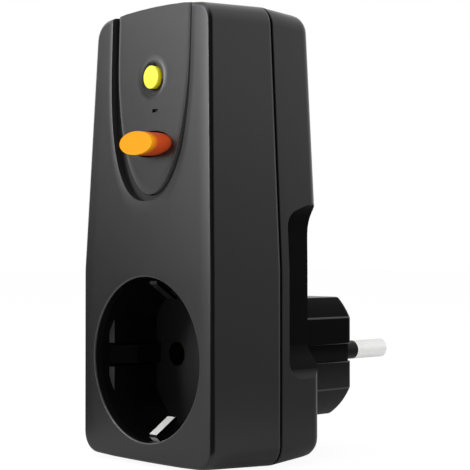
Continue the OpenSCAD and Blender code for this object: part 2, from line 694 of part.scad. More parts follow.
module trip_yoke() color([0.55, 0.56, 0.58]) difference() {
    union() {
        box(-5.6, 5.6, coil_y0 - 0.8, coil_y0 - 0.05, plunger_z - 5.6, plunger_z + 6.5);
        box(-5.6, 5.6, coil_y1 + 0.05, coil_y1 + 0.8, lever_z + 3.4, plunger_z + 6.5);
        box(-5.6, 5.6, coil_y0 - 0.8, coil_y1 + 0.8, plunger_z + 5.75, plunger_z + 6.5);
    }
    ycyl(0, plunger_z, coil_y0 - 2, coil_y0 + 1, 2.3);
}

module circuit_board() color([0.08, 0.3, 0.16]) difference() {
    box(-board_w2, board_w2, board_in, board_y, cup_r + 1.2, test_z + 3.6);
    both_sides() ycyl(board_w2 - 4, cup_r + 4, board_y - 3, board_y + 1, 1.6);
}

module control_chip() color([0.08, 0.08, 0.08]) {
    box(-10, -3, board_in - 1.6, board_in, cup_r + 8, cup_r + 13);
    for (s = [0:3]) box(-9.5 + s * 1.7, -8.8 + s * 1.7, board_in - 0.6, board_in, cup_r + 7.2, cup_r + 13.8);
}

module varistor() color([0.1, 0.25, 0.55]) {
    ycyl(-part_x, lever_z + 0.2, board_in - 4.4, board_in - 1, 3.4);
    for (s = [-1, 1]) ycyl(-part_x + s * 2, lever_z + 0.2, board_in - 1, board_in, 0.35);
}

module capacitor() color([0.12, 0.14, 0.2]) {
    ycyl(part_x, lever_z + 0.2, board_in - 12, board_in - 0.4, 3.3);
    for (s = [-1, 1]) ycyl(part_x + s * 1.4, lever_z + 0.2, board_in - 0.4, board_in, 0.35);
}

module test_resistor() color([0.75, 0.66, 0.5]) {
    translate([3, board_in - 1.5, cup_r + 10]) rotate([0, 90, 0]) cylinder(h = 6, r = 1.1);
    for (x = [2, 9.4]) box(x, x + 0.6, board_in - 1.8, board_in, cup_r + 9.7, cup_r + 10.3);
    translate([2, board_in - 1.5, cup_r + 10]) rotate([0, 90, 0]) cylinder(h = 8, r = 0.3);
}

module housing_screws() color([0.7, 0.7, 0.72]) four_screws() {
    ycyl(0, 0, seam_y - 9, seat_y + 0.5, screw_r);
    difference() {
        ycyl(0, 0, seat_y + 0.02, seat_y + 2, 2.8);
        box(-2, 2, seat_y + 1.2, seat_y + 3, -0.4, 0.4);
        box(-0.4, 0.4, seat_y + 1.2, seat_y + 3, -2, 2);
    }
}

// Round-wire coil spring along Z, from 0 to h
module coil(r, wire, h, turns) {
    n = 14;
    m = 6;
    k = turns * n;
    pts = [for (i = [0:k], j = [0:m - 1])
        let (a = 360 * i / n, b = 360 * j / m, z = wire + (h - 2 * wire) * i / k)
        [(r + wire * cos(b)) * cos(a), (r + wire * cos(b)) * sin(a), z + wire * sin(b)]];
    faces = concat(
        [[for (j = [m - 1:-1:0]) j], [for (j = [0:m - 1]) k * m + j]],
        [for (i = [0:k - 1], j = [0:m - 1]) [i * m + j, i * m + (j + 1) % m, (i + 1) * m + (j + 1) % m]],
        [for (i = [0:k - 1], j = [0:m - 1]) [i * m + j, (i + 1) * m + (j + 1) % m, (i + 1) * m + j]]);
    polyhedron(points = pts, faces = faces);
}

front_cover();
rear_cover();
plug_boss();
panel_plate();
indicator_lens();
indicator_led();
socket_insert();
earth_bracket();
earth_link();
plug_earth_strip();
line_contact();
neutral_contact();
contact_retainer();
line_pin();
neutral_pin();
line_sleeve();
neutral_sleeve();
pin_carrier();
line_in_bar();
neutral_in_bar();
line_out_bar();
neutral_out_bar();
ct_core();
ct_winding();
test_button();
test_spring();
test_contact();
reset_button();
contact_carrier();
line_bridge();
neutral_bridge();
reset_spring();
trip_lever();
lever_pin();
mechanism_frame();
trip_plunger();
plunger_spring();
trip_bobbin();
trip_winding();
trip_yoke();
circuit_board();
control_chip();
varistor();
capacitor();
test_resistor();
housing_screws();
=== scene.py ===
"""Looks of the residual-current adapter plug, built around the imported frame."""
import json
import math
from collections import namedtuple

import bmesh
import bpy
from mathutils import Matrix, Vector


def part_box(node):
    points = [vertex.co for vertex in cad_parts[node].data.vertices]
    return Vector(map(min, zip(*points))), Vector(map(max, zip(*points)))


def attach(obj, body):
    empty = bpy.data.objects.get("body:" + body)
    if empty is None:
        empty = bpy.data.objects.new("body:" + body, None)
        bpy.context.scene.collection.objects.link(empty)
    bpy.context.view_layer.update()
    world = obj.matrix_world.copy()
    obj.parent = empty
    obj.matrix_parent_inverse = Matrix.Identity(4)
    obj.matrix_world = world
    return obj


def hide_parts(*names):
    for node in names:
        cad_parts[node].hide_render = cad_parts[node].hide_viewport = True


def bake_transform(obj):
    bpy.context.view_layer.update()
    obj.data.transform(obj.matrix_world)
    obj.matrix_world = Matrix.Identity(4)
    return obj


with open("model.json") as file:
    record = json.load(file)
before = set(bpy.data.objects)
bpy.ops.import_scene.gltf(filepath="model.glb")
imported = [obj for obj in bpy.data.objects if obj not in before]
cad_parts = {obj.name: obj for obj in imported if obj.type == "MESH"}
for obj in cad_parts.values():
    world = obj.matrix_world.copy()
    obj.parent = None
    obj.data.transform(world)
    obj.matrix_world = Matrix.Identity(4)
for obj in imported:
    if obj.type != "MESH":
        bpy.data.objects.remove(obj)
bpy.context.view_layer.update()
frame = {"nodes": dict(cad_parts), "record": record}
nodes = frame["nodes"]
MM = 0.001


def middle_of(name):
    """Middle of a node's box, in millimetres."""
    low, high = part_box(name)
    return (low + high) / 2 / MM


# Places taken from the frame, in millimetres
cover_low, cover_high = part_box("front_cover")
HALF_W = cover_high.x / MM
BASE_Z = cover_low.z / MM
TEST_Z = middle_of("test_button").z
PIN_X = abs(middle_of("line_pin").x)
RESET_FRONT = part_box("reset_button")[0].y / MM

# Places shared with the part, in millimetres
FRONT_Y = -55.0
SEAM_Y = -34.0
SEAM_GAP = 0.5
REAR_Y = -19.8
KINK_Z = 21.1
LEAN_RISE = 2.0 / 63.9
SIDE_SLOPE = 0.05
RECESS_R = 19.6
PANEL_IN = 0.9
PANEL_W2 = 14.9
PANEL_TURN = 73.8
PANEL_TIP = 37.6
PANEL_FULL = 2.5
PLATE_FULL = 2.0
GROOVE_IN = 1.55
DISH_R = 4.2

# Upright edges of the front face: distance from the middle, and how fast they lean in
EDGE_X = 23.6
EDGE_SLOPE = 0.043

# Painted sheen at the mouth of a grip scoop, lighter than its inside: how far under the side it starts, and
# the depth over which it darkens
MOUTH_START = 0.1
MOUTH_DEPTH = 1.3

# Soft lips: width and fall in millimetres, where a negative fall is a raised rim
Lip = namedtuple("Lip", "width fall")
PANEL_LIP = Lip(1.5, 0.085)
EDGE_LIP = Lip(4.0, 0.1)
SEAM_LIP = Lip(0.55, 0.2)
DISH_LIP = Lip(1.5, -0.1)
PLATE_LIP = Lip(1.0, -0.05)


def past_kink(z):
    """Height above the kink in the front face, in millimetres."""
    return max(0.0, z - KINK_Z)


def front_face_y(z):
    """Depth of the front face at one height, in millimetres."""
    return FRONT_Y + past_kink(z) * LEAN_RISE


def side_face_x(z):
    """Half width of the body at one height, in millimetres."""
    return HALF_W - past_kink(z) * SIDE_SLOPE


# Material nodes

NOISE_ROUGH = 0.55


def shader(name):
    """An empty node material with its surface shader."""
    mat = bpy.data.materials.new(name)
    mat.use_nodes = True
    tree = mat.node_tree
    tree.nodes.clear()
    out = tree.nodes.new("ShaderNodeOutputMaterial")
    bsdf = tree.nodes.new("ShaderNodeBsdfPrincipled")
    tree.links.new(bsdf.outputs["BSDF"], out.inputs["Surface"])
    return mat, tree, bsdf


def noise(tree, scale, detail=3.0, stretch=None):
    """Noise in object coordinates, scale in waves per metre."""
    coord = tree.nodes.new("ShaderNodeTexCoord")
    node = tree.nodes.new("ShaderNodeTexNoise")
    node.inputs["Scale"].default_value = scale
    node.inputs["Detail"].default_value = detail
    node.inputs["Roughness"].default_value = NOISE_ROUGH
    if stretch is None:
        tree.links.new(coord.outputs["Object"], node.inputs["Vector"])
    else:
        mapping = tree.nodes.new("ShaderNodeMapping")
        mapping.inputs["Scale"].default_value = stretch
        tree.links.new(coord.outputs["Object"], mapping.inputs["Vector"])
        tree.links.new(mapping.outputs["Vector"], node.inputs["Vector"])
    return node.outputs["Fac"]


def ramp_to(tree, source, low, high, lo=0.3, hi=0.7):
    """Maps a value between lo and hi onto a number range."""
    node = tree.nodes.new("ShaderNodeMapRange")
    node.inputs["From Min"].default_value = lo
    node.inputs["From Max"].default_value = hi
    node.inputs["To Min"].default_value = low
    node.inputs["To Max"].default_value = high
    tree.links.new(source, node.inputs["Value"])
    return node.outputs["Result"]


def tint(tree, source, dark, light, lo=0.3, hi=0.7):
    """Maps a value between lo and hi onto a colour range."""
    node = tree.nodes.new("ShaderNodeValToRGB")
    node.color_ramp.elements[0].position = lo
    node.color_ramp.elements[1].position = hi
    node.color_ramp.elements[0].color = (*dark, 1)
    node.color_ramp.elements[1].color = (*light, 1)
    tree.links.new(source, node.inputs["Fac"])
    return node.outputs["Color"]


def bump(tree, bsdf, layers):
    """Adds bump layers (height, depth in metres, strength) to a surface."""
    last = None
    for height, depth, strength in layers:
        node = tree.nodes.new("ShaderNodeBump")
        node.inputs["Strength"].default_value = strength
        node.inputs["Distance"].default_value = depth
        tree.links.new(height, node.inputs["Height"])
        if last is not None:
            tree.links.new(last, node.inputs["Normal"])
        last = node.outputs["Normal"]
    tree.links.new(last, bsdf.inputs["Normal"])


def axes(tree):
    """The object's own X, Y and Z, in metres."""
    coord = tree.nodes.new("ShaderNodeTexCoord")
    split = tree.nodes.new("ShaderNodeSeparateXYZ")
    tree.links.new(coord.outputs["Object"], split.inputs["Vector"])
    return split.outputs


def along(tree, axis, start, end):
    """A number that runs from 0 to 1 between two places (millimetres) along one axis of the object."""
    return ramp_to(tree, axes(tree)[axis], 0.0, 1.0, start * MM, end * MM)


def blend(tree, factor, first, second):
    """Mixes two colours, given as sockets or as tuples."""
    node = tree.nodes.new("ShaderNodeMix")
    node.data_type = "RGBA"
    tree.links.new(factor, node.inputs["Factor"])
    for socket, color in (("A_Color", first), ("B_Color", second)):
        target = [i for i in node.inputs if i.identifier == socket][0]
        if isinstance(color, bpy.types.NodeSocket):
            tree.links.new(color, target)
        else:
            target.default_value = (*color, 1)
    return [o for o in node.outputs if o.identifier == "Result_Color"][0]


def sums(tree):
    """A function that adds a math node to a tree."""

    def math_node(kind, a, b=None):
        node = tree.nodes.new("ShaderNodeMath")
        node.operation = kind
        for socket, value in zip(node.inputs, (a, b)):
            if isinstance(value, bpy.types.NodeSocket):
                tree.links.new(value, socket)
            elif value is not None:
                socket.default_value = value
        return node.outputs[0]

    return math_node


# Soft lips and scoop mouths, worked out in the materials from places in millimetres


def places(tree, math_node):
    """The object's own X, Y and Z, in millimetres."""
    return [math_node("DIVIDE", axis, MM) for axis in axes(tree)]


def under_side(math_node, x, z, foot, slope):
    """Distance inwards from an upright side that stands at foot and leans in above the kink."""
    risen = math_node("MAXIMUM", math_node("SUBTRACT", z, KINK_Z), 0.0)
    side = math_node("SUBTRACT", foot, math_node("MULTIPLY", risen, slope))
    return math_node("SUBTRACT", side, math_node("ABSOLUTE", x))


def panel_reach(math_node, x, z, inset, fullness):
    """A number that is 1 on the outline of the panel, drawn in by inset, and grows outwards."""
    drop = math_node("MAXIMUM", math_node("SUBTRACT", PANEL_TURN, z), 0.0)
    across = math_node("DIVIDE", math_node("ABSOLUTE", x), PANEL_W2 - inset)
    down = math_node("DIVIDE", drop, PANEL_TURN - PANEL_TIP - inset)
    total = math_node("ADD", math_node("POWER", across, fullness), math_node("POWER", down, fullness))
    return math_node("POWER", total, 1 / fullness)


def lips(math_node, rows):
    """Height in millimetres of soft lips, each given as its distance from the edge and its Lip."""
    total = None
    for distance, lip in rows:
        part = math_node("SUBTRACT", 1.0, math_node("DIVIDE", distance, lip.width))
        part = math_node("MINIMUM", math_node("MAXIMUM", part, 0.0), 1.0)
        part = math_node("MULTIPLY", math_node("POWER", part, 2.0), -lip.fall)
        total = part if total is None else math_node("ADD", total, part)
    return total


def scoop_depth(tree):
    """A number that runs from 0 at the mouth of a grip scoop to 1 at MOUTH_DEPTH under it."""
    math_node = sums(tree)
    x, _, z = places(tree, math_node)
    under = under_side(math_node, x, z, HALF_W - MOUTH_START, SIDE_SLOPE)
    return ramp_to(tree, under, 0.0, 1.0, 0.0, MOUTH_DEPTH)


def front_lips(tree):
    """Lips of the front cover along the panel, both upright edges and the seam."""
    math_node = sums(tree)
    x, y, z = places(tree, math_node)
    reach = panel_reach(math_node, x, z, 0.0, PANEL_FULL)
    from_panel = math_node("MULTIPLY", math_node("SUBTRACT", reach, 1.0), PANEL_W2)
    from_edge = under_side(math_node, x, z, EDGE_X, EDGE_SLOPE)
    from_seam = math_node("SUBTRACT", SEAM_Y - SEAM_GAP, y)
    return lips(math_node, ((from_panel, PANEL_LIP), (from_edge, EDGE_LIP), (from_seam, SEAM_LIP)))


def rear_lip(tree):
    """Lip of the rear cover along the seam."""
    math_node = sums(tree)
    y = places(tree, math_node)[1]
    return lips(math_node, ((math_node("SUBTRACT", y, SEAM_Y), SEAM_LIP),))


def plate_rims(tree):
    """Rims of the panel plate, round the dish and along its outline."""
    math_node = sums(tree)
    x, _, z = places(tree, math_node)
    high = math_node("SUBTRACT", z, TEST_Z)
    squares = math_node("ADD", math_node("MULTIPLY", x, x), math_node("MULTIPLY", high, high))
    from_dish = math_node("SUBTRACT", math_node("SQRT", squares), DISH_R)
    reach = panel_reach(math_node, x, z, GROOVE_IN, PLATE_FULL)
    from_outline = math_node("MULTIPLY", math_node("SUBTRACT", 1.0, reach), PANEL_W2 - GROOVE_IN)
    return lips(math_node, ((from_dish, DISH_LIP), (from_outline, PLATE_LIP)))


# Kinds of material, with scales in waves per metre and depths in metres

# Marks of moulded plastic
FLOW_SCALE = 55.0
FLOW_DETAIL = 4.0
FLOW_STRETCH = (1.0, 1.0, 0.45)
CLOUD_SCALE = 420.0
CLOUD_BUMP = 0.05
FINE_DETAIL = 2.0
FINE_BUMP = 0.25
SHEEN_SPREAD = 0.012
COAT_ROUGH = 0.15

# Marks of metal
STREAK_SCALE = 2600.0
STREAK_STRETCH = (1.0, 0.06, 1.0)
STREAK_DEPTH = 2e-6
STREAK_BUMP = 0.5
STREAK_ROUGH = (0.75, 1.35)
SMUDGE_SCALE = 240.0
SMUDGE_DETAIL = 4.0

# Turns of varnished wire
WIRE_SCALE = 900.0
WIRE_WANDER = 0.6
WIRE_DARK = 0.45
WIRE_RANGE = (0.1, 0.8)
WIRE_DEPTH = 6e-5
WIRE_BUMP = 0.7
WIRE_METAL = 0.7
WIRE_ROUGH = 0.32

# A run of colour along one axis, between two places in millimetres
Run = namedtuple("Run", "axis start end color")


def varied(color, vary):
    """A darker and a lighter version of a colour."""
    dark = [c * (1 - vary) for c in color]
    light = [min(1.0, c * (1 + vary)) for c in color]
    return dark, light


def moulded(name, color, rough, grain=3600.0, depth=3e-6, vary=0.1, coat=0.0, gloss=0.5, far=None, lip=None,
            mouth=None):
    """Moulded plastic: fine grain, soft flow marks and uneven sheen.

    far is a Run to another colour, used for painted light and shade, lip adds soft lips, and mouth is a
    lighter colour painted at the mouth of a scoop as a painted sheen.
    """
    mat, tree, bsdf = shader(name)
    flow = noise(tree, FLOW_SCALE, FLOW_DETAIL, FLOW_STRETCH)
    fine = noise(tree, grain, FINE_DETAIL)
    cloud = noise(tree, CLOUD_SCALE)
    shade = tint(tree, flow, *varied(color, vary))
    if far is not None:
        shade = blend(tree, along(tree, far.axis, far.start, far.end), shade, far.color)
    if mouth is not None:
        shade = blend(tree, scoop_depth(tree), mouth, shade)
    tree.links.new(shade, bsdf.inputs["Base Color"])
    sheen = ramp_to(tree, cloud, rough - SHEEN_SPREAD, rough + SHEEN_SPREAD)
    tree.links.new(sheen, bsdf.inputs["Roughness"])
    layers = [(cloud, depth, CLOUD_BUMP), (fine, depth, FINE_BUMP)]
    if lip is not None:
        layers.insert(0, (lip(tree), MM, 1.0))
    bump(tree, bsdf, layers)
    bsdf.inputs["Specular IOR Level"].default_value = gloss
    bsdf.inputs["Coat Weight"].default_value = coat
    bsdf.inputs["Coat Roughness"].default_value = COAT_ROUGH
    return mat


def metal(name, color, rough, vary=0.1, share=1.0):
    """Plated or rolled metal with drawn streaks and small smudges; share is how metallic it is."""
    mat, tree, bsdf = shader(name)
    streak = noise(tree, STREAK_SCALE, stretch=STREAK_STRETCH)
    smudge = noise(tree, SMUDGE_SCALE, SMUDGE_DETAIL)
    tree.links.new(tint(tree, smudge, *varied(color, vary)), bsdf.inputs["Base Color"])
    least, most = STREAK_ROUGH
    tree.links.new(ramp_to(tree, streak, rough * least, rough * most), bsdf.inputs["Roughness"])
    bump(tree, bsdf, [(streak, STREAK_DEPTH, STREAK_BUMP)])
    bsdf.inputs["Metallic"].default_value = share
    return mat


def wound(name, color):
    """Varnished wire, wound in fine turns."""
    mat, tree, bsdf = shader(name)
    coord = tree.nodes.new("ShaderNodeTexCoord")
    wave = tree.nodes.new("ShaderNodeTexWave")
    wave.wave_type = "BANDS"
    wave.bands_direction = "Y"
    wave.inputs["Scale"].default_value = WIRE_SCALE
    wave.inputs["Distortion"].default_value = WIRE_WANDER
    tree.links.new(coord.outputs["Object"], wave.inputs["Vector"])
    turns = wave.outputs["Fac"]
    dark = [c * WIRE_DARK for c in color]
    tree.links.new(tint(tree, turns, dark, color, *WIRE_RANGE), bsdf.inputs["Base Color"])
    bump(tree, bsdf, [(turns, WIRE_DEPTH, WIRE_BUMP)])
    bsdf.inputs["Metallic"].default_value = WIRE_METAL
    bsdf.inputs["Roughness"].default_value = WIRE_ROUGH
    return mat


# Materials of the record's slots

SHELL = (0.0045, 0.0045, 0.0048)
SHELL_ROUGH = 0.30
BUTTON = {"grain": 2600.0, "vary": 0.03}
MATS = {
    "shell_plastic": moulded("shell_plastic", SHELL, SHELL_ROUGH),
    "panel_plastic": moulded("panel_plastic", SHELL, SHELL_ROUGH),
    "insert_plastic": moulded("insert_plastic", (0.0035, 0.0035, 0.0037), 0.3, gloss=0.1),
    "sleeve_plastic": moulded("sleeve_plastic", (0.005, 0.005, 0.005), 0.35, gloss=0.12),
    "inner_plastic": moulded("inner_plastic", (0.08, 0.08, 0.085), 0.5),
    "white_plastic": moulded("white_plastic", (0.72, 0.69, 0.6), 0.45, vary=0.05),
    # Test button: towards the rear its side turns a more orange yellow, a painted shade
    "yellow_plastic": moulded("yellow_plastic", (0.92, 0.91, 0.09), 0.4, gloss=0.12, **BUTTON,
                              far=Run("Y", -53.2, -52.6, (1.0, 0.84, 0.01))),
    # Reset button: towards its base the side turns darker and redder, a painted shade
    "orange_plastic": moulded("orange_plastic", (0.95, 0.38, 0.004), 0.4, gloss=0.1, **BUTTON,
                              far=Run("Y", -57.6, -56.2, (0.68, 0.085, 0.02))),
    "lens_plastic": moulded("lens_plastic", (0.012, 0.005, 0.005), 0.14, depth=1e-6, coat=0.5),
    "lamp_plastic": moulded("lamp_plastic", (0.5, 0.05, 0.03), 0.2, depth=1e-6, coat=0.4),
    "chip_plastic": moulded("chip_plastic", (0.02, 0.02, 0.02), 0.5),
    "capacitor_plastic": moulded("capacitor_plastic", (0.03, 0.035, 0.07), 0.3),
    "board": moulded("board", (0.02, 0.13, 0.05), 0.36, vary=0.2),
    "ferrite": moulded("ferrite", (0.07, 0.07, 0.075), 0.6, grain=1800.0, depth=2e-5),
    "varistor_ceramic": moulded("varistor_ceramic", (0.04, 0.11, 0.36), 0.35),
    "resistor_ceramic": moulded("resistor_ceramic", (0.55, 0.42, 0.24), 0.45),
    "nickel": metal("nickel", (0.97, 0.965, 0.96), 0.3, vary=0.03, share=0.15),
    "brass": metal("brass", (0.72, 0.52, 0.22), 0.3),
    "copper": metal("copper", (0.70, 0.36, 0.2), 0.32),
    "steel": metal("steel", (0.55, 0.55, 0.56), 0.34),
    "spring_steel": metal("spring_steel", (0.6, 0.6, 0.61), 0.28),
    "winding": wound("winding", (0.5, 0.22, 0.08)),
}

# Materials of single pieces and faces, some of them shaded as the photograph shows them

FRONT = moulded("front_plastic", SHELL, SHELL_ROUGH, lip=front_lips)
PLATE = moulded("plate_plastic", SHELL, SHELL_ROUGH, lip=plate_rims)
REAR = moulded("rear_plastic", SHELL, SHELL_ROUGH, gloss=0.42, lip=rear_lip)
# Groove round the panel: painted lighter than the shell, as painted light
GROOVE = moulded("groove_painted_light", (0.022, 0.022, 0.023), 0.45, gloss=0.2)
# Right side wall of the panel plate: painted lighter, as painted light
WALL = moulded("plate_wall", (0.14, 0.14, 0.143), 0.45, gloss=0.2)
# Grip scoops: painted darker than the side as shade, with a lighter painted sheen at the mouth
DULL = moulded("dull_grip", (0.0035, 0.0035, 0.0036), 0.3, gloss=0.02, mouth=(0.05, 0.05, 0.052))
# Plug boss: painted shade at the top, turning lighter towards the bottom as painted light from below
BOSS = moulded("boss_plastic", (0.0036, 0.0036, 0.0038), 0.25, gloss=0.02,
               far=Run("Z", 1.0, -17.0, (0.042, 0.042, 0.044)))
# Rounded edges and sloped groove ends of the boss: painted highlights
EDGE = moulded("boss_edge_highlight", (0.03, 0.03, 0.0315), 0.3, gloss=0.4)
# Rounded rim of the socket opening: painted highlight
RIM = moulded("rim_painted_highlight", (0.04, 0.04, 0.042), 0.35)
# Front faces of the socket's guide flats: painted light
PAD = moulded("pad_painted_light", (0.05, 0.05, 0.052), 0.4, gloss=0.2)
# Floor of the socket: painted lighter than its walls, as painted light
SEAT = moulded("seat_painted_light", (0.012, 0.012, 0.0125), 0.3, gloss=0.3)
# Contact fronts seen through the pin holes: painted near black, a painted shade
HOLE = moulded("hole_shade", (0.004, 0.0036, 0.003), 0.6, gloss=0.05)
# Dish round the test button: the right wall has painted light, the left and lower walls painted shade
DISH_PAINTED_LIGHT = moulded("dish_painted_light", (0.05, 0.05, 0.052), 0.35)
DISH_PAINTED_SHADE = moulded("dish_painted_shade", (0.005, 0.005, 0.0052), 0.4, gloss=0.15)
CLIP = metal("clip_nickel", (0.98, 0.975, 0.97), 0.4, vary=0.02, share=0.3)
# Upper earth clip: a darker copy of the clip metal, painted shade
SHADED = metal("clip_shaded", (0.07, 0.0695, 0.069), 0.4)
# Front ends and thin side edges of the earth clips: darker metal, painted shade
TIP = metal("clip_edge_shade", (0.025, 0.0246, 0.024), 0.5)

SLOTS = {s["node"]: s["material_slot"] for s in frame["record"]["subparts"]}
for node_name, node_obj in nodes.items():
    node_obj.data.materials.clear()
    node_obj.data.materials.append(MATS[SLOTS[node_name]])

# Dressed copies of the solids that show: joined vertices, rounded edges, smooth shading

JOIN_DISTANCE = 2e-6
FLAT_ANGLE = math.radians(0.25)
SHARP_ANGLE = math.radians(32.0)
NORMAL_WEIGHT = 50
ROUND_PROFILE = 0.5

# Rounded edges: test on two points, radius in millimetres, steps, and whether neighbours limit it
Round = namedtuple("Round", "test radius steps clamp")


def node_body(name):
    """The body that a node rides on."""
    for body, members in frame["record"]["behaviour"]["bodies"].items():
        if name in members:
            return body
    raise KeyError(name)


def round_edges(bm, rule, least):
    """Rounds the edges that turn by least degrees or more and pass the rule's test; returns the new faces."""
    chosen = []
    for edge in bm.edges:
        if len(edge.link_faces) != 2:
            continue
        if edge.calc_face_angle(0.0) < math.radians(least):
            continue
        if rule.test(edge.verts[0].co / MM, edge.verts[1].co / MM):
            chosen.append(edge)
    if not chosen:
        return []
    made = bmesh.ops.bevel(bm, geom=chosen, offset=rule.radius * MM, offset_type="OFFSET",
                           segments=rule.steps, profile=ROUND_PROFILE, affect="EDGES",
                           clamp_overlap=rule.clamp)
    return made["faces"]


def paint_faces(bm, extra, rounded):
    """Gives a face the last extra material whose test it passes, and a rounded face the rim material."""
    for face in bm.faces:
        center = face.calc_center_median() / MM
        for index, (test, _) in enumerate(extra, start=1):
            if test(center, face.normal):
                face.material_index = index
        if face in rounded:
            face.material_index = len(extra) + 1


def smooth_faces(bm):
    """Smooth shading that stops at sharp edges."""
    for face in bm.faces:
        face.smooth = True
    for edge in bm.edges:
        if len(edge.link_faces) == 2:
            edge.smooth = edge.calc_face_angle(0.0) < SHARP_ANGLE


def skin_mesh(name, rounds, least, extra, rim_mat):
    """A node's mesh, joined, rounded, painted and smoothed."""
    bm = bmesh.new()
    bm.from_mesh(nodes[name].data)
    bmesh.ops.remove_doubles(bm, verts=bm.verts, dist=JOIN_DISTANCE)
    bmesh.ops.dissolve_limit(bm, angle_limit=FLAT_ANGLE, verts=bm.verts, edges=bm.edges)
    rounded = set()
    for rule in rounds:
        rounded.update(round_edges(bm, rule, least))
    paint_faces(bm, extra, rounded if rim_mat else ())
    smooth_faces(bm)
    mesh = bpy.data.meshes.new(name + "_skin")
    bm.to_mesh(mesh)
    bm.free()
    return mesh


def dress(name, rounds=(), least=30.0, extra=(), mat=None, rim_mat=None, moving=None):
    """A finer copy of a node, in its place.

    extra lists (test on a face's middle and normal, material), and rim_mat goes on the rounded edges.
    A piece given a moving body stays in its place, attached to no body.
    """
    mesh = skin_mesh(name, rounds, least, extra, rim_mat)
    mesh.materials.append(mat or MATS[SLOTS[name]])
    for _, extra_mat in extra:
        mesh.materials.append(extra_mat)
    if rim_mat is not None:
        mesh.materials.append(rim_mat)
    obj = bpy.data.objects.new(name + "_skin", mesh)
    bpy.context.scene.collection.objects.link(obj)
    if moving is None:
        weighted = obj.modifiers.new("normals", "WEIGHTED_NORMAL")
        weighted.keep_sharp = True
        weighted.weight = NORMAL_WEIGHT
        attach(obj, node_body(name))
    else:
        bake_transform(obj)
    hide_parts(name)


# Tests on edges and faces: places in millimetres, directions as parts of a unit normal

NEAR = 0.05
FACING = 0.9
FLAT = 0.99


def between(value, limits):
    """Whether a value lies between two limits."""
    return limits[0] < value < limits[1]


# Front cover

FRONT_NEAR = 0.06
PANEL_MARGIN = 0.5
GROOVE_INSET = (0.25, 2.2)
RIM_BAND = (-0.1, 0.4)
RIM_DEPTH = 0.4
SEAM_NEAR = 0.03
SEAM_DEPTH = 0.6
BASE_ROUND = 0.35
TOP_Z = 82.0


def in_panel(p):
    """Whether a point lies within the outline of the panel recess, seen from the front."""
    return abs(p.x) < PANEL_W2 + PANEL_MARGIN and p.z > PANEL_TIP - PANEL_MARGIN


def outside(p):
    """Whether a point lies close under the outline of the body at the seam."""
    low = BASE_Z + BASE_ROUND + SEAM_DEPTH
    return abs(p.x) > side_face_x(p.z) - SEAM_DEPTH or p.z > TOP_Z or p.z < low


def on_rim(a, b):
    """Edge of the socket opening in the front face."""
    return all(abs(math.hypot(p.x, p.z) - RECESS_R) < NEAR and abs(p.y - FRONT_Y) < NEAR for p in (a, b))


def on_panel_edge(a, b):
    """Edge of the panel recess in the leaning front face."""
    return all(in_panel(p) and abs(p.y - front_face_y(p.z)) < FRONT_NEAR for p in (a, b))


def on_front_seam(a, b):
    """Outer edge of the front cover at the seam."""
    return all(abs(p.y - SEAM_Y + SEAM_GAP) < SEAM_NEAR and outside(p) for p in (a, b))


def in_groove(p, normal):
    """Walls and floor of the groove round the panel, painted lighter than the shell as painted light."""
    return in_panel(p) and between(p.y - front_face_y(p.z), GROOVE_INSET)


def round_rim(p, normal):
    """Rounded edge of the socket opening, with a painted highlight."""
    beyond = math.hypot(p.x, p.z) - RECESS_R
    return between(beyond, RIM_BAND) and p.y < FRONT_Y + RIM_DEPTH and abs(normal.y) < FLAT


dress("front_cover",
      [Round(on_rim, radius=0.35, steps=3, clamp=True),
       Round(on_panel_edge, radius=0.5, steps=4, clamp=True),
       Round(on_front_seam, radius=0.12, steps=2, clamp=True)],
      extra=[(in_groove, GROOVE), (round_rim, RIM)], mat=FRONT)

# Rear cover

GRIP_EDGE_X = 23.2
GRIP_EDGE_Y = (SEAM_Y + 1.5, REAR_Y + 0.1)
GRIP_EDGE_Z = (-7.0, 39.5)
GRIP_FLAT_X = 22.5
GRIP_INNER_X = 17.5
GRIP_SKIN = 0.18
GRIP_FACE_Y = (SEAM_Y + 1.0, REAR_Y)
GRIP_FACE_Z = (-6.0, 40.0)
GRIP_FACING = 0.97


def on_rear_seam(a, b):
    """Outer edge of the rear cover at the seam."""
    return all(abs(p.y - SEAM_Y) < SEAM_NEAR and outside(p) for p in (a, b))


def on_grip(a, b):
    """Edges of the grip scoops in the sides of the rear cover."""
    return all(abs(p.x) > GRIP_EDGE_X and between(p.y, GRIP_EDGE_Y) and between(p.z, GRIP_EDGE_Z)
               for p in (a, b))


def in_grip(p, normal):
    """Faces inside the grip scoops."""
    if abs(normal.x) > FLAT and abs(p.x) > GRIP_FLAT_X:
        return False
    sunk = between(abs(p.x), (GRIP_INNER_X, side_face_x(p.z) - GRIP_SKIN))
    return sunk and between(p.y, GRIP_FACE_Y) and between(p.z, GRIP_FACE_Z) and abs(normal.y) < GRIP_FACING


dress("rear_cover",
      [Round(on_grip, radius=1.2, steps=6, clamp=True),
       Round(on_rear_seam, radius=0.5, steps=4, clamp=False)],
      extra=[(in_grip, DULL)], mat=REAR)

# Plug boss

BOSS_LEAST = 18.0
BOSS_EDGE_R = 16.0
BOSS_EDGE_LENGTH = 0.3
RAMP_X = 14.0
RAMP_Z = 2.4
RAMP_SIDE = 0.5
RAMP_REAR = 0.3


def on_boss(a, b):
    """Long edges of the plug boss between its flats and its round, rounded with a painted highlight."""
    if abs(a.y - b.y) <= BOSS_EDGE_LENGTH:
        return False
    return all(p.y > REAR_Y - NEAR and math.hypot(p.x, p.z) > BOSS_EDGE_R for p in (a, b))


def on_ramp(p, normal):
    """Sloped inner ends of the side grooves, with a painted highlight."""
    sloped = abs(normal.x) > RAMP_SIDE and normal.y > RAMP_REAR
    return sloped and abs(p.x) > RAMP_X and abs(p.z) < RAMP_Z


